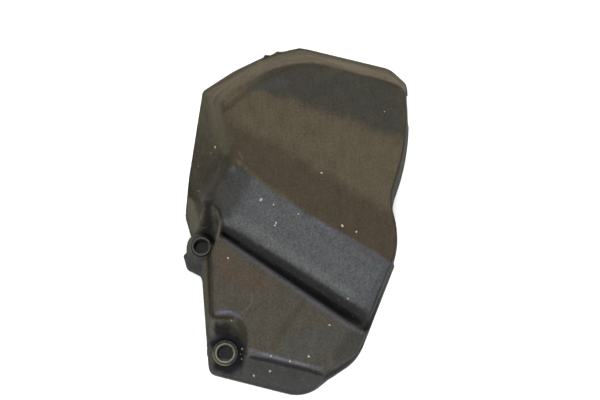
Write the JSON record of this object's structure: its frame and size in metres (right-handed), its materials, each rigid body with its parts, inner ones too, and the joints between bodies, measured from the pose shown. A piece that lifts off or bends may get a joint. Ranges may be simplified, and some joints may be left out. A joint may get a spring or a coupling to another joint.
{
  "type": "sprocket cover",
  "caption": "Moulded cover for a motorcycle's front sprocket: a faceted dome with an open back, a lower plateau, a groove between them and sleeved fixing holes.",
  "frame": {"origin": "on the axis of the lower fixing hole, in the plane of the open rim that meets the engine", "axes": "+Z out of the outer face, away from the engine; +Y towards the dome's far end, up in the picture; +X to the right seen from outside"},
  "size_m": [0.1291, 0.2011, 0.0396],
  "materials": {
    "shell": "worn and dirty moulded plastic",
    "lower_sleeve": "worn plating with a yellow tinge",
    "upper_sleeve": "dull and dirty"
  },
  "bodies": {
    "root": {"cover_shell": "shell", "lower_collar": "lower_sleeve", "upper_collar": "upper_sleeve"}
  },
  "joints": []
}
